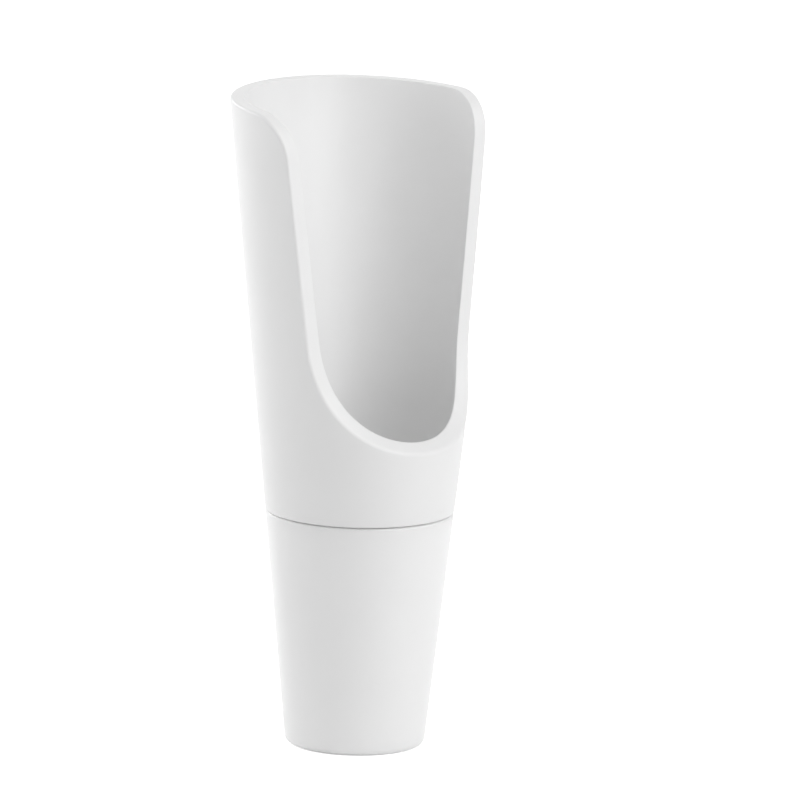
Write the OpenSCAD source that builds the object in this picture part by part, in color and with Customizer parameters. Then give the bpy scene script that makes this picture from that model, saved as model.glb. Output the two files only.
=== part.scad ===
// Wine pourer: an open scoop spout whose stem is pressed into a tapered bottle stopper.
// Millimetres. Z is the axis, z = 0 is the stopper's base, and the mouth opens towards -Y.

/* [Overall] */
// Height from the stopper's base to the back of the rim, its highest point
overall_h = 71.1; // [66:0.1:78]
// Outside diameter of the spout at that height
rim_d = 30; // [27:0.1:34]
// Outside diameter of the spout where it meets the stopper
seam_d = 20.5; // [19.6:0.1:22.4]

/* [Spout wall] */
// Wall of the cup and the scoop, measured square to the axis
wall = 1.65; // [1.2:0.05:2.2]
// Rounding of the spout's bottom outer edge
seam_round = 0.2; // [0.1:0.05:0.4]

/* [Mouth and rim, as seen from the side] */
// Height of the closed collar between the seam and the mouth's lowest outside point
collar_h = 8; // [6:0.1:10]
// Radius of the scoop that sweeps out through the front wall
scoop_r = 15; // [13:0.5:18]
// How far in front of the axis the mouth's side edge would reach the overall height
mouth_setback = 2.8; // [1:0.1:5]
// Lean of the mouth's side edge from the vertical, in degrees
mouth_lean = 2.8; // [0:0.1:6]
// Radius of the shoulder between the side edge and the rim
shoulder_r = 5.4; // [3:0.1:8]
// Fall of the rim from the back towards the mouth, in degrees
rim_fall = 2.3; // [0:0.1:5]

/* [Cup floor] */
// Height of the floor above the seam at the stem's bore
floor_t = 1.8; // [1.4:0.1:2.6]
// Slope of the floor, which drains the last drops back, in degrees
floor_slope = 28; // [15:1:40]
// Radius of the inside corner between wall and floor
floor_corner_r = 2.4; // [1:0.1:3]
// Rounding of the floor's edge where it falls into the bore
drain_round = 0.9; // [0.4:0.1:1.2]

/* [Stem] */
// Wall of the stem around the bore that the wine runs through
stem_wall = 1.3; // [1:0.05:1.6]
// How far the stem's end stays inside the stopper's base
stem_recess = 1.2; // [0.8:0.1:3]
// Number of barbs that grip the stopper
barb_count = 3; // [1:1:4]
// Height of a barb above the stem
barb_rise = 0.4; // [0.2:0.05:0.5]
// Length of a barb's ramp along the stem
barb_len = 2.2; // [1.4:0.1:2.8]
// Distance from one barb to the next
barb_pitch = 5; // [4:0.25:6]
// Height of the lowest barb's ramp foot above the stem's end
barb_start = 5; // [3:0.25:6]

/* [Stopper] */
// Height of the stopper
stopper_h = 25.8; // [24:0.1:28]
// Outside diameter at the base
base_d = 15.1; // [13:0.1:17]
// Wall of the stopper at its base, which leaves the rest of the base to the stem
base_wall = 1.7; // [1.5:0.05:2.4]
// Step from the spout's skin in to the stopper's skin at the seam
seam_step = 0.12; // [0.05:0.01:0.3]
// Rounding of the base's outer edge
base_round = 0.8; // [0.3:0.1:1.0]
// Rounding of the stopper's top outer edge
top_round = 0.25; // [0.1:0.05:0.4]
// Rounding of the base's inner edge around the stem
bore_mouth_round = 0.3; // [0.1:0.05:0.4]
// Clearance between the stem and the stopper's bore, per side
stem_fit = 0.04; // [0.02:0.01:0.1]

/* [Hidden] */
$fn = 96;
fillet_steps = 6;         // straight steps in a small rounding
scoop_steps = 30;         // and in the two arcs of the mouth
shoulder_steps = 15;
past = 4;                 // how far a cutter runs beyond what it cuts

rim_r = rim_d / 2;
seam_r = seam_d / 2;
base_r = base_d / 2;
stem_r = base_r - base_wall - stem_fit;
bore_r = stem_r - stem_wall;
stopper_top_r = seam_r - seam_step;
stem_edge = 0.4;          // rounding of the stem's two end edges

// Outside and inside radius of the spout's wall at height z
function spout_r(z) = seam_r + (rim_r - seam_r) * (z - stopper_h) / (overall_h - stopper_h);
function cup_r(z) = spout_r(z) - wall;

// Points of an arc about centre, from one angle to another
function arc(centre, r, from, to, steps) = [for (i = [0 : steps])
    let (t = from + (to - from) * i / steps)
    centre + r * [cos(t), sin(t)]];

// Points of an arc that rounds corner b of the path a, b, c with radius r
function unit(v) = v / norm(v);
function fillet(a, b, c, r) =
    let (u = unit(a - b), v = unit(c - b), half = acos(u * v) / 2,
         centre = b + unit(u + v) * r / sin(half),
         start = b + u * r / tan(half) - centre,
         from = atan2(start[1], start[0]),
         way = u[0] * v[1] - u[1] * v[0] > 0 ? -1 : 1)
    arc(centre, r, from, from + way * (180 - 2 * half), fillet_steps);

function reversed(list) = [for (i = [len(list) - 1 : -1 : 0]) list[i]];

// Barbs, from the lowest up: each ramps out as it rises and drops back at a square step.
// grow widens the same outline for the groove that it seats in.
function barb_z(i) = stem_recess + barb_start + i * barb_pitch;
function barbs(grow) = [for (i = [0 : barb_count - 1])
    each [[stem_r + grow, barb_z(i) - grow],
          [stem_r + barb_rise + grow, barb_z(i) + barb_len - grow],
          [stem_r + barb_rise + grow, barb_z(i) + barb_len + grow],
          [stem_r + grow, barb_z(i) + barb_len + grow]]];

// Half section of the spout: cup wall, sloped floor and stem as one moulding. The wall runs past
// the rim, which the mouth's cut trims.
module spout_section() {
    floor_z = stopper_h + floor_t;
    // Where the floor's slope meets the cup's inside cone
    lean = (cup_r(overall_h) - cup_r(stopper_h)) / (overall_h - stopper_h);
    rise = tan(floor_slope);
    corner_r = (cup_r(floor_z) - lean * rise * bore_r) / (1 - lean * rise);
    corner = [corner_r, floor_z + (corner_r - bore_r) * rise];
    bore_top = [bore_r, floor_z];
    top_z = overall_h + past;
    top_in = [cup_r(top_z), top_z];
    top_out = [spout_r(top_z), top_z];
    seam_out = [seam_r, stopper_h];
    end_out = [stem_r, stem_recess];
    end_in = [bore_r, stem_recess];
    polygon(concat(
        fillet(bore_top, end_in, end_out, stem_edge),
        fillet(end_in, end_out, [stem_r, stopper_h], stem_edge),
        barbs(0),
        [[stem_r, stopper_h]],
        fillet([stem_r, stopper_h], seam_out, top_out, seam_round),
        [top_out, top_in],
        fillet(top_in, corner, bore_top, floor_corner_r),
        fillet(corner, bore_top, end_in, drain_round)
    ));
}

// Side view of what is cut away for the mouth and the rim, with x forward from the axis and y up.
// The scoop's circle passes through the collar's top on the outer skin, and touches a leaning
// edge. That runs up to a round shoulder, where the rim starts and rises to the back.
module mouth_outline() {
    slope = tan(mouth_lean);
    stretch = 1 / cos(mouth_lean);
    low = [spout_r(stopper_h + collar_h), stopper_h + collar_h];
    // The two conditions on the circle's centre leave a quadratic in its height
    k = low[0] - mouth_setback - slope * overall_h - scoop_r * stretch;
    a = 1 + slope * slope;
    b = 2 * (k * slope - low[1]);
    c = k * k + low[1] * low[1] - scoop_r * scoop_r;
    scoop_z = (-b + sqrt(b * b - 4 * a * c)) / (2 * a);
    scoop_x = mouth_setback + slope * (overall_h - scoop_z) + scoop_r * stretch;
    // The shoulder's centre lies its radius behind the leaning edge and as far below the rim
    behind = mouth_setback * cos(mouth_lean) + overall_h * sin(mouth_lean) - shoulder_r;
    below = overall_h * cos(rim_fall) - rim_r * sin(rim_fall) - shoulder_r;
    shoulder = [behind * cos(rim_fall) - below * sin(mouth_lean),
                below * cos(mouth_lean) - behind * sin(rim_fall)] / cos(mouth_lean + rim_fall);
    back_x = -rim_r - 2 * past;
    top_z = overall_h + 2 * past;
    polygon(concat(
        arc([scoop_x, scoop_z], scoop_r, 270, 180 + mouth_lean, scoop_steps),
        arc(shoulder, shoulder_r, mouth_lean, 90 - rim_fall, shoulder_steps),
        [[back_x, overall_h - (back_x + rim_r) * tan(rim_fall)], [back_x, top_z], [scoop_x, top_z]]
    ));
}

module spout() color("#f1f1f0") difference() {
    rotate_extrude() spout_section();
    // The outline's x turns to -Y and its y to Z, and it is extruded along X
    rotate([90, 0, -90]) translate([0, 0, -rim_r - past])
        linear_extrude(2 * (rim_r + past)) mouth_outline();
}

// Half section of the stopper: a tapered plug with a barbed bore
module stopper_section() {
    bore = stem_r + stem_fit;
    base_in = [bore, 0];
    base_out = [base_r, 0];
    top_out = [stopper_top_r, stopper_h];
    polygon(concat(
        fillet([bore, stopper_h], base_in, base_out, bore_mouth_round),
        fillet(base_in, base_out, top_out, base_round),
        fillet(base_out, top_out, [bore, stopper_h], top_round),
        [[bore, stopper_h]],
        reversed(barbs(stem_fit))
    ));
}

module stopper() color("#f6f6f5") rotate_extrude() stopper_section();

spout();
stopper();
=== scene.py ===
"""Looks of a wine pourer: a white moulded spout with an open scoop mouth, in a silicone stopper.

Lengths are in metres. Z is the pourer's axis, the stopper stands on z = 0, and the mouth opens
towards -Y.
"""

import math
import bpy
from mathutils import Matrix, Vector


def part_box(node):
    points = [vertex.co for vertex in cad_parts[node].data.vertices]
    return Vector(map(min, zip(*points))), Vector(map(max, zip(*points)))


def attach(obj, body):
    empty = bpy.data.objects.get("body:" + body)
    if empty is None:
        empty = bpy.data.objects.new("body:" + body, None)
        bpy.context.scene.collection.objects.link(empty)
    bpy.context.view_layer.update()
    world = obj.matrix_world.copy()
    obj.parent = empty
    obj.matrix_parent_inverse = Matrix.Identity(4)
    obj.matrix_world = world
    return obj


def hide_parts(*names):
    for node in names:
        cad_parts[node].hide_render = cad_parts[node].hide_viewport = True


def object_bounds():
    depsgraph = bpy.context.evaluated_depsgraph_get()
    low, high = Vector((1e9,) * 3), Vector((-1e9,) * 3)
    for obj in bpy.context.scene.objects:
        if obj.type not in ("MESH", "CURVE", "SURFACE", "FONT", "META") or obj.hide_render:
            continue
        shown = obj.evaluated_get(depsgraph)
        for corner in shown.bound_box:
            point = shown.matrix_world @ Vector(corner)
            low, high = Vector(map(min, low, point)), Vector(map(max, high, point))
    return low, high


bl_info = {
    "name": "Wine pourer",
    "version": (1, 0, 0),
    "blender": (4, 5, 0),
    "location": "3D View > Sidebar > Pourer",
    "description": "Models a wine pourer's spout and stopper, and a plain studio around them",
    "category": "Add Mesh",
}

import bmesh
import bpy
import numpy as np
from bpy.props import FloatProperty, FloatVectorProperty, IntProperty, PointerProperty
from mathutils import Matrix, Vector

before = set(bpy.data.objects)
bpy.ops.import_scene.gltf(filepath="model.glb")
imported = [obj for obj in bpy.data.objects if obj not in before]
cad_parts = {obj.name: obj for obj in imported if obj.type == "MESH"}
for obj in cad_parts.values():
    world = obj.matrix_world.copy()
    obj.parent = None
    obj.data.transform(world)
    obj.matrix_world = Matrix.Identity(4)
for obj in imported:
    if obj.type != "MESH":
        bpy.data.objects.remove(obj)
CAD_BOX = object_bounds()
STOPPER_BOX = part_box("stopper")
MM = 0.001

# How finely curves are drawn
EDGE_STEPS = 6          # steps round a small edge
CORNER_STEPS = 10       # steps round the cup's inside corner
ARC_STEPS = 120         # steps along the mouth's two arcs
PATH_POINTS = 6000      # points along the mouth's side view
HALF_COLUMNS = 210      # columns of the spout's mesh from the front to the back
SKIN_ROWS = 26          # rows of its mesh between the mouth's edge and the foot of a skin
CUT_ROWS = 4            # rows across the cut face
RELAX_ROUNDS = 1500     # rounds that even out the rows of a skin
STOPPER_COLUMNS = 256
STOPPER_ROWS = 16       # rows between its two rounded edges
BESIDE_EDGE = (0.05 * MM, 0.2 * MM, 0.55 * MM)      # from a rounded edge to the rows beside it
FULL_RISE = 0.7         # share of the mouth's height at which its edge has its rounding at the rim
FOOT_PULL = 0.7         # how far a skin's foot first follows its edge, before it is evened out
SHARP_ANGLE = math.radians(35)

# How the moulded surfaces vary
PATCHES = 7 * MM            # size of the soft patches in which the colour drifts
GRAIN_DEPTH = 0.002 * MM
GLOSS_DRIFT = 0.04          # how far the grain takes the roughness up and down
SCATTERING = 2 * MM         # how far light goes under the surface

# The studio, in metres and degrees. Soft boxes have their turn from the camera, elevation,
# distance, width and height.
FRONT_BOX = (45, 12, 0.8, 0.45, 0.55)
HIGH_BOX = (45, 52, 0.8, 0.45, 0.55)
RIGHT_BOX = (75, 42, 0.8, 0.45, 0.55)
RIM_BOX = (-101, 12, 0.8, 0.45, 0.55)
EDGE_BOX = (-142, 20, 0.8, 0.12, 0.12)
LEFT_BOX = (-75, 42, 0.8, 0.45, 0.55)
BACK_BOX = (165, 42, 0.8, 0.45, 0.55)
FLOOR_RADIUS = 3
FLOOR_SIDES = 96
FLOOR_GLOW = 0.6        # light that the floor adds only for the eye, so that it shows white
SENSOR_WIDTH = 36       # millimetres


def linear(hex_colour):
    """Turns an sRGB colour such as 'F0F0EE' into the linear values that shaders take."""
    parts = [int(hex_colour[i:i + 2], 16) / 255 for i in (0, 2, 4)]
    return tuple(p / 12.92 if p <= 0.04045 else ((p + 0.055) / 1.055) ** 2.4 for p in parts)


def length(name, description, millimetres):
    return FloatProperty(name=name, description=description, default=millimetres * MM, min=0,
                         precision=5, unit="LENGTH")


def angle(name, description, degrees):
    return FloatProperty(name=name, description=description, default=math.radians(degrees),
                         unit="ROTATION")


def colour(name, description, hex_colour):
    return FloatVectorProperty(name=name, description=description, default=linear(hex_colour),
                               min=0, max=1, subtype="COLOR")


def factor(name, description, value, high=1):
    return FloatProperty(name=name, description=description, default=value, min=0, max=high)


class PourerSpout(bpy.types.PropertyGroup):
    height: FloatProperty(name="Height", description="From the stopper's base to the rim's back",
                          default=CAD_BOX[1][2], unit="LENGTH")
    seam_height: FloatProperty(name="Seam height", description="Where the stopper meets the spout",
                               default=STOPPER_BOX[1][2], unit="LENGTH")
    rim_diameter: length("Rim diameter", "Outside diameter at the height of the rim's back", 30)
    seam_diameter: length("Seam diameter", "Outside diameter at the seam", 20.5)
    wall: length("Wall", "Wall of the cup and the scoop", 1.65)
    outer_round: length("Outer edge", "Rounding of the mouth's outer edge, at its lowest", 0.55)
    rim_round: length("Rim edge", "Rounding of the same edge at the rim, which is finer", 0.33)
    inner_round: length("Inner edge", "Rounding of the crisper inner edge, all round", 0.12)
    seam_round: length("Seam edge", "Rounding of the bottom outer edge", 0.2)
    collar: length("Collar", "Height of the closed collar between the seam and the mouth", 8)
    scoop_radius: length("Scoop radius", "Radius of the sweep out through the front wall", 15)
    setback: length("Setback", "How far before the axis the side edge would reach the height", 3)
    lean: angle("Lean", "Lean of the mouth's side edge from the vertical", 2.8)
    shoulder_radius: length("Shoulder", "Radius between the side edge and the rim", 5.1)
    rim_fall: angle("Rim fall", "Fall of the rim from the back towards the mouth", 2.3)
    floor_height: length("Floor height", "Height of the floor above the seam, at the bore", 1.8)
    floor_slope: angle("Floor slope", "Slope of the floor towards the bore", 28)
    floor_round: length("Floor corner", "Radius of the corner between the wall and the floor", 2.4)
    drain_round: length("Drain edge", "Rounding where the floor falls into the bore", 0.9)
    stem_diameter: length("Stem diameter", "Outside diameter of the stem in the stopper", 11.62)
    stem_wall: length("Stem wall", "Wall of the stem around the bore", 1.3)
    stem_recess: length("Stem recess", "How far the stem's end stays inside the base", 1.2)
    stem_round: length("Stem edge", "Rounding of the stem's two end edges", 0.4)
    barb_count: IntProperty(name="Barbs", description="Barbs that grip the stopper", default=3,
                            min=0)
    barb_rise: length("Barb rise", "Height of a barb above the stem", 0.4)
    barb_length: length("Barb length", "Length of a barb's ramp", 2.2)
    barb_pitch: length("Barb pitch", "Distance from one barb to the next", 5)
    barb_start: length("Barb start", "Foot of the lowest barb above the stem's end", 5)


class PourerStopper(bpy.types.PropertyGroup):
    base_diameter: length("Base diameter", "Outside diameter at the base", 15.1)
    seam_step: length("Seam step", "Step in from the spout's skin to the stopper's", 0.02)
    base_round: length("Base edge", "Rounding of the base's outer edge", 0.8)
    top_round: length("Top edge", "Rounding of the top outer edge, seen as a fine bright line", 0.3)
    top_fall: length("Top fall", "Fall of the top face to its outer edge, seen as a dark line", 0.1)
    bore_round: length("Bore edge", "Rounding of the base's inner edge", 0.3)
    stem_fit: length("Stem fit", "Clearance around the stem, per side", 0.04)


class PourerFinish(bpy.types.PropertyGroup):
    spout_colour: colour("Spout colour", "White of the moulded ABS", "ECECEC")
    spout_roughness: factor("Spout roughness", "Satin of the moulded ABS", 0.37)
    grain: length("Grain", "Spacing of the mould's fine grain, drawn coarser than it is", 0.28)
    stopper_colour: colour("Stopper colour", "White of the moulded silicone", "EFEFEF")
    stopper_roughness: factor("Stopper roughness", "Soft sheen of the moulded silicone", 0.32)
    floor_colour: colour("Floor colour", "Pale floor", "F2F2F2")


class PourerStudio(bpy.types.PropertyGroup):
    distance: length("Distance", "From the camera to the middle of the pourer", 1200)
    focal_length: FloatProperty(name="Focal length", description="Millimetres on a 36 mm sensor",
                                default=499.6)
    azimuth: angle("Azimuth", "Turn of the camera from the mouth's side, towards -X", 41.06)
    elevation: angle("Elevation", "Height of the camera above the horizon", 11.24)
    roll: angle("Roll", "Turn of the picture", -1.34)
    aside: FloatProperty(name="Aside", description="The pourer's place, right of picture centre",
                         default=-4.14 * MM, unit="LENGTH")
    above: FloatProperty(name="Above", description="The pourer's place, above picture centre",
                         default=-2.22 * MM, unit="LENGTH")
    ambient: factor("Ambient", "Strength of the even light from all round", 0.25, 10)
    front_box: factor("Front box", "Watts of the low soft box in front, on the right", 1.7, 100)
    high_box: factor("High box", "Watts of the soft box above the front box", 1.6, 100)
    right_box: factor("Right box", "Watts of the raised soft box on the right", 1.38, 100)
    rim_box: factor("Rim box", "Watts of the low soft box on the left, a little behind", 2.3, 100)
    edge_box: factor("Edge box", "Watts of the small box behind, for a line on the rim", 1.1, 100)
    left_box: factor("Left box", "Watts of the raised soft box on the left", 1.1, 100)
    back_box: factor("Back box", "Watts of the raised soft box behind", 0.3, 100)


# Outlines


def unit(v):
    return v / np.linalg.norm(v, axis=-1, keepdims=True)


def arc(centre, radius, start, end, steps):
    """Points of an arc about centre, from one angle to another."""
    turn = np.linspace(start, end, steps + 1)
    return np.array(centre) + radius * np.stack([np.cos(turn), np.sin(turn)], axis=-1)


def resample(points, count):
    """The same line with count even steps."""
    way = np.concatenate([[0], np.cumsum(np.linalg.norm(np.diff(points, axis=0), axis=1))])
    even = np.linspace(0, way[-1], count + 1)
    return np.stack([np.interp(even, way, part) for part in points.T], axis=-1)


def round_corner(corner, leg_a, leg_b, radius, steps=EDGE_STEPS):
    """Rows of points that round a corner, from unit direction leg_a to leg_b, both away from it.

    corner is one point, or a line of points that each have their own legs and radius.
    """
    middle = unit(leg_a + leg_b)
    across = unit(leg_a - leg_b)
    half = np.arccos(np.clip((leg_a * leg_b).sum(-1, keepdims=True), -1, 1)) / 2
    centre = corner + middle * radius / np.sin(half)
    turns = [step * (math.pi / 2 - half) for step in np.linspace(1, -1, steps + 1)]
    return np.array([centre + radius * (across * np.sin(t) - middle * np.cos(t)) for t in turns])


def fillet(a, b, c, radius, steps=EDGE_STEPS):
    """Points that round corner b of a flat path a, b, c."""
    a, b, c = (np.array(p, float) for p in (a, b, c))
    return round_corner(b, unit(a - b), unit(c - b), radius, steps)


def barbs(s, grow=0.0):
    """Outline of the stem's barbs, upwards: each ramps out and drops back at a square step.

    grow widens it for the seat in the stopper.
    """
    radius = s.stem_diameter / 2 + grow
    points = []
    for i in range(s.barb_count):
        foot = s.stem_recess + s.barb_start + i * s.barb_pitch
        top = foot + s.barb_length
        points += [(radius, foot - grow), (radius + s.barb_rise, top - grow)]
        if grow:    # without it, the tip's two points would be one
            points.append((radius + s.barb_rise, top + grow))
        points.append((radius, top + grow))
    return points


class SpoutForm:
    """The spout's skins, its section and the side view of its mouth, worked out from its sizes."""

    def __init__(self, sizes):
        self.sizes = sizes
        self.rim = sizes.rim_diameter / 2
        self.seam = sizes.seam_diameter / 2
        self.path = self.mouth_path()

    def outer(self, z):
        s = self.sizes
        return self.seam + (self.rim - self.seam) * (z - s.seam_height) / (s.height - s.seam_height)

    def inner(self, z):
        return self.outer(z) - self.sizes.wall

    def lower_section(self):
        """Half section below the two skins: cup floor, bore and stem end, then stem and seam."""
        s = self.sizes
        stem = s.stem_diameter / 2
        bore = stem - s.stem_wall
        floor = s.seam_height + s.floor_height
        lean = self.inner(s.seam_height + 1) - self.inner(s.seam_height)
        slope = math.tan(s.floor_slope)
        corner_r = (self.inner(floor) - lean * slope * bore) / (1 - lean * slope)
        corner = (corner_r, floor + (corner_r - bore) * slope)
        drain, end_in, end_out = (bore, floor), (bore, s.stem_recess), (stem, s.stem_recess)
        root, seam = (stem, s.seam_height), (self.seam, s.seam_height)
        cup = np.concatenate([
            fillet((self.inner(s.height), s.height), corner, drain, s.floor_round, CORNER_STEPS),
            fillet(corner, drain, end_in, s.drain_round),
            fillet(drain, end_in, end_out, s.stem_round),
        ])
        foot = np.concatenate([
            fillet(end_in, end_out, root, s.stem_round),
            np.array(barbs(s)).reshape(-1, 2),
            [root],
            fillet(root, seam, (self.rim, s.height), s.seam_round),
        ])
        return cup, foot

    def mouth_path(self):
        """Side view of the mouth and rim: close points (forward, up) from collar to back."""
        s = self.sizes
        slope, stretch = math.tan(s.lean), 1 / math.cos(s.lean)
        low = (self.outer(s.seam_height + s.collar), s.seam_height + s.collar)
        # The scoop's circle passes through the collar's top and touches the leaning edge
        k = low[0] - s.setback - slope * s.height - s.scoop_radius * stretch
        a, b = 1 + slope ** 2, 2 * (k * slope - low[1])
        c = k ** 2 + low[1] ** 2 - s.scoop_radius ** 2
        scoop_z = (math.sqrt(b * b - 4 * a * c) - b) / (2 * a)
        scoop_x = s.setback + slope * (s.height - scoop_z) + s.scoop_radius * stretch
        # The shoulder's centre lies its radius behind the leaning edge and as far below the rim
        behind = s.setback * math.cos(s.lean) + s.height * math.sin(s.lean) - s.shoulder_radius
        below = (s.height * math.cos(s.rim_fall) - self.rim * math.sin(s.rim_fall)
                 - s.shoulder_radius)
        turn = math.cos(s.lean + s.rim_fall)
        shoulder = ((behind * math.cos(s.rim_fall) - below * math.sin(s.lean)) / turn,
                    (below * math.cos(s.lean) - behind * math.sin(s.rim_fall)) / turn)
        start = 2 * math.pi + math.atan2(low[1] - scoop_z, low[0] - scoop_x)
        return resample(np.concatenate([
            arc((scoop_x, scoop_z), s.scoop_radius, start, math.pi + s.lean, ARC_STEPS),
            arc(shoulder, s.shoulder_radius, s.lean, math.pi / 2 - s.rim_fall, ARC_STEPS),
            [(-self.rim - s.wall, s.height + s.wall * math.tan(s.rim_fall))],
        ]), PATH_POINTS)

    def nearest_on_path(self, points):
        """Index of the side view's point nearest to each point in space."""
        flat = np.stack([-points[:, 1], points[:, 2]], axis=-1)
        return np.argmin(((flat[:, None] - self.path[None]) ** 2).sum(-1), axis=1)

    def onto_cut(self, points):
        """Moves points straight onto the cut face, which runs along X."""
        forward, up = self.path[self.nearest_on_path(points)].T
        return np.stack([points[:, 0], -forward, up], axis=-1)

    def cut_normal(self, points):
        along = np.gradient(self.path, axis=0)[self.nearest_on_path(points)]
        return unit(np.stack([np.zeros(len(points)), -along[:, 1], -along[:, 0]], axis=-1))

    def edge(self, radius_at, count):
        """The edge that the mouth cuts in one skin, in even steps from front to back at +X."""
        forward, up = self.path.T
        room = radius_at(up) ** 2 - forward ** 2
        within = np.flatnonzero(room > 0)
        first, last = max(within[0], 1), within[-1]
        front, back = (self.path[i] + (self.path[j] - self.path[i]) * room[i] / (room[i] - room[j])
                       for i, j in ((first, first - 1), (last, last + 1)))
        forward, up = np.concatenate([[front], self.path[first:last + 1], [back]]).T
        x = np.sqrt(np.maximum(radius_at(up) ** 2 - forward ** 2, 0))
        x[0] = x[-1] = 0
        return resample(np.stack([x, -forward, up], axis=-1), count)


# Meshes


def angles(points):
    """Angle of points in space about the axis, from the mouth's side."""
    return np.arctan2(points[..., 0], -points[..., 1])


def around(turn, radius, z):
    """Points in space at angles about the axis."""
    turn, radius, z = np.broadcast_arrays(turn, radius, z)
    return np.stack([radius * np.sin(turn), -radius * np.cos(turn), z], axis=-1)


def nearest_in_order(points, line):
    """The point of a fine line nearest to each of points, never stepping back along it."""
    gap = ((points[:, None] - line[None]) ** 2).sum(-1)
    index = np.maximum.accumulate(np.argmin(gap, axis=1))
    index[0], index[-1] = 0, len(line) - 1
    return line[index]


def edge_legs(edge, skin_normal, cut_normal):
    """Unit directions square to an edge and away from it, down the skin and across the cut face."""
    mirror = np.array([-1, 1, 1])
    longer = np.concatenate([edge[1:2] * mirror, edge, edge[-2:-1] * mirror])
    tangent = unit(longer[2:] - longer[:-2])
    down, across = np.cross(tangent, skin_normal), np.cross(tangent, cut_normal)
    down = -down * np.sign((down * cut_normal).sum(-1, keepdims=True))
    across = -across * np.sign((across * skin_normal).sum(-1, keepdims=True))
    return unit(down), unit(across)


def relax(grid):
    """Evens out a grid of flat points until its lines cross nearly square.

    Its first row stays. The side lines slide up and down, and the last row slides along its height.
    """
    for _ in range(RELAX_ROUNDS):
        along = (grid[2:, 1:-1] - grid[:-2, 1:-1]) / 2
        down = (grid[1:-1, 2:] - grid[1:-1, :-2]) / 2
        cross = (grid[2:, 2:] - grid[2:, :-2] - grid[:-2, 2:] + grid[:-2, :-2]) / 4
        a, b, c = ((p * q).sum(-1, keepdims=True)
                   for p, q in ((down, down), (along, down), (along, along)))
        grid[1:-1, 1:-1] = (a * (grid[2:, 1:-1] + grid[:-2, 1:-1])
                            + c * (grid[1:-1, 2:] + grid[1:-1, :-2])
                            - 2 * b * cross) / (2 * (a + c))
        grid[0, 1:-1, 1], grid[-1, 1:-1, 1] = grid[1, 1:-1, 1], grid[-2, 1:-1, 1]
        grid[1:-1, -1, 0] = grid[1:-1, -2, 0]
    return grid


def skin_rows(edge, leg, starts, radius_at, foot_z):
    """Rows of one skin, from beside its rounded edge down to a level ring at foot_z.

    starts holds how far from the edge each of the rows beside it runs, before rounding.
    """
    beside = [edge + leg * start for start in starts]
    mean = radius_at(foot_z)
    first = np.stack([angles(beside[-1]) * mean, beside[-1][:, 2]], axis=-1)
    spread = np.linspace(0, math.pi * mean, len(edge))
    foot = FOOT_PULL * first[:, 0] + (1 - FOOT_PULL) * spread
    last = np.stack([foot, np.full(len(edge), foot_z)], axis=-1)
    share = np.linspace(0, 1, SKIN_ROWS + 1)[None, :, None]
    grid = relax(first[:, None] * (1 - share) + last[:, None] * share)
    rows = [around(angles(row), radius_at(row[:, 2]), row[:, 2]) for row in beside[:-1]]
    rows += [around(grid[:, k, 0] / mean, radius_at(grid[:, k, 1]), grid[:, k, 1])
             for k in range(SKIN_ROWS + 1)]
    return rows


def spout_rows(form):
    """The spout's closed section as rows of points on its +X half, each from front to back."""
    s = form.sizes
    cup, foot = form.lower_section()
    outer_edge = form.edge(form.outer, HALF_COLUMNS)
    inner_edge = nearest_in_order(outer_edge, form.edge(form.inner, PATH_POINTS))
    sides = []
    for edge, radius_at, way, low, high, foot_z in (
            (outer_edge, form.outer, 1, s.outer_round, s.rim_round, foot[-1][1]),
            (inner_edge, form.inner, -1, s.inner_round, s.inner_round, cup[0][1])):
        flare = radius_at(1) - radius_at(0)
        normal = way * unit(around(angles(edge), 1, -flare))
        down, across = edge_legs(edge, normal, form.cut_normal(edge))
        half = np.arccos(np.clip((down * across).sum(-1, keepdims=True), -1, 1)) / 2
        rise = (edge[:, 2:] - edge[0, 2]) / (edge[-1, 2] - edge[0, 2])
        radius = low + (high - low) * np.clip(rise / FULL_RISE, 0, 1)
        starts = [radius / np.tan(half) + more for more in BESIDE_EDGE]
        sides.append((round_corner(edge, down, across, radius),
                      skin_rows(edge, down, starts, radius_at, foot_z)))
    (outer_round, outer_skin), (inner_round, inner_skin) = sides
    share = np.linspace(0, 1, CUT_ROWS + 1)[1:-1]
    cut = [form.onto_cut(outer_round[-1] * (1 - t) + inner_round[-1] * t) for t in share]
    cup_turn, foot_turn = angles(inner_skin[-1]), angles(outer_skin[-1])
    cup_turn[-1] = foot_turn[-1] = math.pi
    # The stem's rows lead from the cup's columns over to the outer skin's
    stem = [around(cup_turn * (1 - t) + foot_turn * t, r, z)
            for t, (r, z) in zip(np.linspace(0, 1, len(foot)), foot)]
    return (outer_skin[::-1] + list(outer_round) + cut + list(inner_round[::-1]) + inner_skin
            + [around(cup_turn, r, z) for r, z in cup[1:]] + stem[:-1])


def mirrored(rows):
    """Closes half rows into rings, by their mirror image across the plane x = 0."""
    rows = np.array(rows)
    rows[:, (0, -1), 0] = 0
    return np.concatenate([rows, rows[:, -2:0:-1] * np.array([-1, 1, 1])], axis=1)


def ring_mesh(name, rings):
    """A closed solid of quads through rings of points, where the last ring joins the first."""
    count, columns = rings.shape[:2]
    index = np.arange(count * columns).reshape(count, columns)
    above, beside = np.roll(index, -1, axis=0), np.roll(index, -1, axis=1)
    quads = np.stack([index, beside, np.roll(above, -1, axis=1), above], axis=-1).reshape(-1, 4)
    mesh = bpy.data.meshes.new(name)
    mesh.from_pydata(rings.reshape(-1, 3).tolist(), [], quads.tolist())
    form = bmesh.new()
    form.from_mesh(mesh)
    bmesh.ops.recalc_face_normals(form, faces=form.faces)
    form.to_mesh(mesh)
    form.free()
    mesh.shade_smooth()
    mesh.set_sharp_from_angle(angle=SHARP_ANGLE)
    piece = bpy.data.objects.new(name, mesh)
    bpy.context.scene.collection.objects.link(piece)
    return piece


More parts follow.
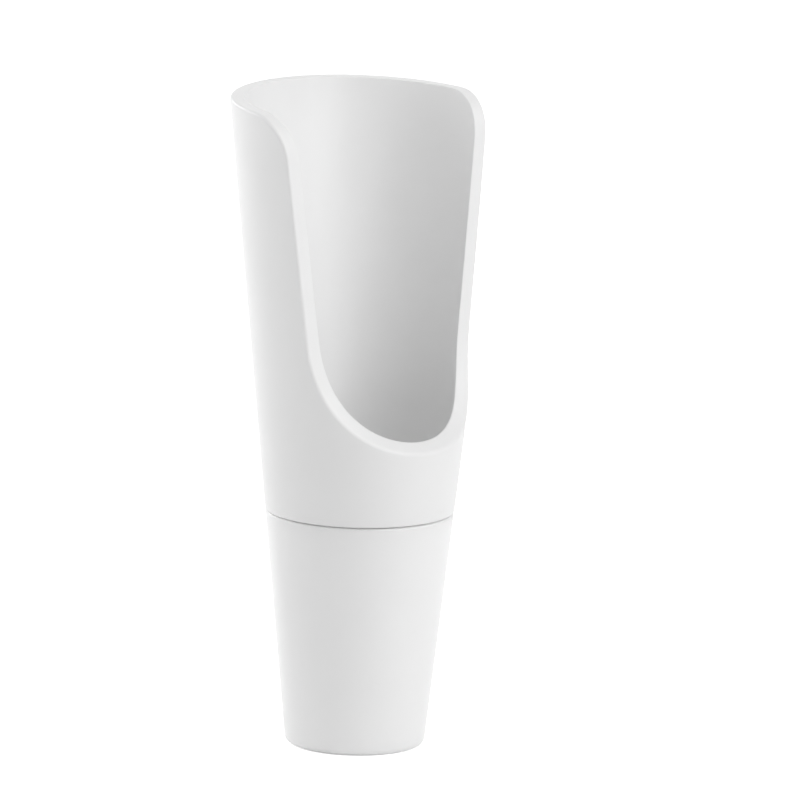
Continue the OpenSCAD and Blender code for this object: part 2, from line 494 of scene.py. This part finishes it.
def stopper_section(stopper, spout):
    """Half section of the stopper, closed: base, skin, top and the bore with the barbs' seats."""
    top_z = spout.seam_height
    bore = spout.stem_diameter / 2 + stopper.stem_fit
    base_in, base_out, top_in = (bore, 0), (stopper.base_diameter / 2, 0), (bore, top_z)
    top_out = (spout.seam_diameter / 2 - stopper.seam_step, top_z - stopper.top_fall)
    skin = [fillet(base_in, base_out, top_out, stopper.base_round, CORNER_STEPS),
            fillet(base_out, top_out, top_in, stopper.top_round)]
    skin.insert(1, np.linspace(skin[0][-1], skin[1][0], STOPPER_ROWS + 1)[1:-1])
    return np.concatenate([fillet(top_in, base_in, base_out, stopper.bore_round), *skin,
                           [top_in], barbs(spout, stopper.stem_fit)[::-1]])


# Materials


def add_node(tree, kind, inputs=None, **settings):
    """Adds a node with its settings. An input's value is a number, or an output to link to it."""
    new = tree.nodes.new(kind)
    for name, value in settings.items():
        setattr(new, name, value)
    for name, value in (inputs or {}).items():
        if isinstance(value, bpy.types.NodeSocket):
            tree.links.new(value, new.inputs[name])
        else:
            new.inputs[name].default_value = value
    return new


def empty_material(name):
    material = bpy.data.materials.new(name)
    material.use_nodes = True
    material.node_tree.nodes.clear()
    return material, material.node_tree


def opaque(rgb):
    return (*rgb, 1)


def moulded_plastic(name, rgb, roughness, ior, grain, drift, subsurface):
    """A white moulded surface: one colour with a faint drift, and the mould's fine grain.

    grain is the grain's spacing in metres. drift darkens the colour by up to that share in patches.
    """
    material, tree = empty_material(name)
    place = add_node(tree, "ShaderNodeTexCoord").outputs["Object"]
    patches = add_node(tree, "ShaderNodeTexNoise",
                       {"Vector": place, "Scale": 1 / PATCHES, "Detail": 2.0})
    fine = add_node(tree, "ShaderNodeTexNoise",
                    {"Vector": place, "Scale": 1 / grain, "Detail": 3.0, "Roughness": 0.55})
    shade = add_node(tree, "ShaderNodeMapRange",
                     {"Value": patches.outputs["Fac"], "From Min": 0.3, "From Max": 0.7,
                      "To Min": 1 - drift, "To Max": 1.0})
    tint = add_node(tree, "ShaderNodeVectorMath", {0: rgb, "Scale": shade.outputs["Result"]},
                    operation="SCALE")
    gloss = add_node(tree, "ShaderNodeMapRange",
                     {"Value": fine.outputs["Fac"], "From Min": 0.3, "From Max": 0.7,
                      "To Min": roughness - GLOSS_DRIFT, "To Max": roughness + GLOSS_DRIFT})
    bump = add_node(tree, "ShaderNodeBump",
                    {"Height": fine.outputs["Fac"], "Distance": GRAIN_DEPTH, "Strength": 1.0})
    shader = add_node(tree, "ShaderNodeBsdfPrincipled",
                      {"Base Color": tint.outputs["Vector"], "Roughness": gloss.outputs["Result"],
                       "Normal": bump.outputs["Normal"], "IOR": ior,
                       "Subsurface Weight": subsurface, "Subsurface Radius": (1.0, 1.0, 1.0),
                       "Subsurface Scale": SCATTERING})
    add_node(tree, "ShaderNodeOutputMaterial", {"Surface": shader.outputs["BSDF"]})
    return material


def moulded_abs(finish):
    # ABS from a lightly spark-eroded mould: a clean cool white with a satin sheen, where the light
    # rolls off softly and a very fine grain breaks up the highlights
    return moulded_plastic("moulded_abs", finish.spout_colour, finish.spout_roughness, ior=1.46,
                           grain=finish.grain, drift=0.012, subsurface=0.05)


def moulded_silicone(finish):
    # Silicone from a smooth mould: slightly milky and softer to the eye than the ABS, with hardly
    # any grain and a broad, weak sheen
    return moulded_plastic("moulded_silicone", finish.stopper_colour, finish.stopper_roughness,
                           ior=1.41, grain=2 * finish.grain, drift=0.008, subsurface=0.5)


def seen_by_eye(tree):
    """1 for rays that reach the camera straight, by a reflection or through glass, else 0."""
    rays = add_node(tree, "ShaderNodeLightPath").outputs
    two = add_node(tree, "ShaderNodeMath", {0: rays["Is Camera Ray"], 1: rays["Is Glossy Ray"]},
                   operation="MAXIMUM")
    three = add_node(tree, "ShaderNodeMath",
                     {0: two.outputs["Value"], 1: rays["Is Transmission Ray"]},
                     operation="MAXIMUM")
    return three.outputs["Value"]


def paper_floor(finish):
    # Matt white backdrop paper: it shows as plain white and still takes the pourer's soft shadow
    material, tree = empty_material("white_backdrop_paper")
    paper = add_node(tree, "ShaderNodeBsdfDiffuse", {"Color": opaque(finish.floor_colour)})
    glow = add_node(tree, "ShaderNodeEmission",
                    {"Color": opaque((1, 1, 1)), "Strength": FLOOR_GLOW})
    both = add_node(tree, "ShaderNodeAddShader",
                    {0: paper.outputs["BSDF"], 1: glow.outputs["Emission"]})
    mix = add_node(tree, "ShaderNodeMixShader",
                   {0: seen_by_eye(tree), 1: paper.outputs["BSDF"], 2: both.outputs["Shader"]})
    add_node(tree, "ShaderNodeOutputMaterial", {"Surface": mix.outputs["Shader"]})
    return material


# Operators


class POURER_OT_spout(bpy.types.Operator):
    """Model the spout: tapered scoop, cup floor and stem in one piece, with soft edges"""

    bl_idname = "pourer.spout"
    bl_label = "Spout"

    def execute(self, context):
        scene = context.scene
        piece = ring_mesh("scoop_spout", mirrored(spout_rows(SpoutForm(scene.pourer_spout))))
        piece.data.materials.append(moulded_abs(scene.pourer_finish))
        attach(piece, "root")
        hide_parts("spout")
        return {"FINISHED"}


class POURER_OT_stopper(bpy.types.Operator):
    """Model the stopper: a tapered plug with soft edges, turned round the stem"""

    bl_idname = "pourer.stopper"
    bl_label = "Stopper"

    def execute(self, context):
        scene = context.scene
        section = stopper_section(scene.pourer_stopper, scene.pourer_spout)
        turn = np.linspace(0, 2 * math.pi, STOPPER_COLUMNS, endpoint=False)
        piece = ring_mesh("tapered_stopper", np.array([around(turn, r, z) for r, z in section]))
        piece.data.materials.append(moulded_silicone(scene.pourer_finish))
        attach(piece, "root")
        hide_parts("stopper")
        return {"FINISHED"}


def soft_box(name, middle, azimuth, elevation, distance, width, height, watts):
    """A rectangular lamp that faces the pourer's middle. azimuth turns it from -Y towards +X."""
    lamp = bpy.data.lights.new(name, "AREA")
    lamp.shape = "RECTANGLE"
    lamp.size, lamp.size_y, lamp.energy = width, height, watts
    out = Vector((math.cos(elevation) * math.sin(azimuth), -math.cos(elevation) * math.cos(azimuth),
                  math.sin(elevation)))
    holder = bpy.data.objects.new(name, lamp)
    holder.location = middle + distance * out
    holder.rotation_euler = out.to_track_quat("Z", "Y").to_euler()
    bpy.context.scene.collection.objects.link(holder)


def camera_pose(studio, middle):
    """Matrix of the camera. Its columns are the directions right, up and back, and its place."""
    roll, rise, turn = studio.roll, studio.elevation, -studio.azimuth
    level = Matrix(((1, 0, 0),
                    (0, math.sin(rise), math.cos(rise)),
                    (0, -math.cos(rise), math.sin(rise))))
    rolled = Matrix.Rotation(roll, 3, "Z") @ level
    pose = Matrix.Rotation(turn, 3, "Z") @ rolled.transposed()
    place = middle + pose @ Vector((-studio.aside, -studio.above, studio.distance))
    return Matrix.Translation(place) @ pose.to_4x4()


class POURER_OT_studio(bpy.types.Operator):
    """Set up the floor, the soft boxes, the white surroundings and the camera"""

    bl_idname = "pourer.studio"
    bl_label = "Studio"

    def execute(self, context):
        scene = context.scene
        studio = scene.pourer_studio
        middle = Vector((0, 0, scene.pourer_spout.height / 2))

        mesh = bpy.data.meshes.new("floor")
        form = bmesh.new()
        bmesh.ops.create_circle(form, cap_ends=True, segments=FLOOR_SIDES, radius=FLOOR_RADIUS)
        form.to_mesh(mesh)
        form.free()
        floor = bpy.data.objects.new("floor", mesh)
        scene.collection.objects.link(floor)
        mesh.materials.append(paper_floor(scene.pourer_finish))

        view = -studio.azimuth
        for name, (turn, elevation, distance, width, height), watts in (
            ("front_box", FRONT_BOX, studio.front_box),
            ("high_box", HIGH_BOX, studio.high_box),
            ("right_box", RIGHT_BOX, studio.right_box),
            ("rim_box", RIM_BOX, studio.rim_box),
            ("edge_box", EDGE_BOX, studio.edge_box),
            ("left_box", LEFT_BOX, studio.left_box),
            ("back_box", BACK_BOX, studio.back_box),
        ):
            soft_box(name, middle, view + math.radians(turn), math.radians(elevation), distance,
                     width, height, watts)

        world = bpy.data.worlds.new("white_surroundings")
        world.use_nodes = True
        tree = world.node_tree
        tree.nodes.clear()
        strength = add_node(tree, "ShaderNodeMapRange",
                            {"Value": seen_by_eye(tree), "To Min": studio.ambient, "To Max": 1.0})
        light = add_node(tree, "ShaderNodeBackground",
                         {"Color": opaque((1, 1, 1)), "Strength": strength.outputs["Result"]})
        add_node(tree, "ShaderNodeOutputWorld", {"Surface": light.outputs["Background"]})
        scene.world = world
        scene.view_settings.view_transform = "Standard"

        camera = bpy.data.objects.new("camera", bpy.data.cameras.new("camera"))
        camera.data.lens = studio.focal_length
        camera.data.sensor_width = SENSOR_WIDTH
        camera.data.clip_end = 2 * FLOOR_RADIUS
        camera.matrix_world = camera_pose(studio, middle)
        scene.collection.objects.link(camera)
        scene.camera = camera
        return {"FINISHED"}


class POURER_PT_panel(bpy.types.Panel):
    """Sizes, finishes and studio of the pourer"""

    bl_label = "Wine pourer"
    bl_idname = "POURER_PT_panel"
    bl_space_type = "VIEW_3D"
    bl_region_type = "UI"
    bl_category = "Pourer"

    def draw(self, context):
        for operator, group in PANEL_ROWS:
            box = self.layout.box()
            if operator:
                box.operator(operator)
            values = getattr(context.scene, group)
            for name in values.__annotations__:
                box.prop(values, name)


GROUPS = {
    "pourer_spout": PourerSpout,
    "pourer_stopper": PourerStopper,
    "pourer_finish": PourerFinish,
    "pourer_studio": PourerStudio,
}
PANEL_ROWS = (
    ("pourer.spout", "pourer_spout"),
    ("pourer.stopper", "pourer_stopper"),
    ("", "pourer_finish"),
    ("pourer.studio", "pourer_studio"),
)
CLASSES = (*GROUPS.values(), POURER_OT_spout, POURER_OT_stopper, POURER_OT_studio, POURER_PT_panel)


def register():
    for one in CLASSES:
        bpy.utils.register_class(one)
    for name, group in GROUPS.items():
        setattr(bpy.types.Scene, name, PointerProperty(type=group))


def unregister():
    for name in GROUPS:
        delattr(bpy.types.Scene, name)
    for one in reversed(CLASSES):
        bpy.utils.unregister_class(one)


def main():
    register()
    bpy.ops.pourer.spout()
    bpy.ops.pourer.stopper()
    bpy.ops.pourer.studio()


if __name__ == "__main__":
    main()
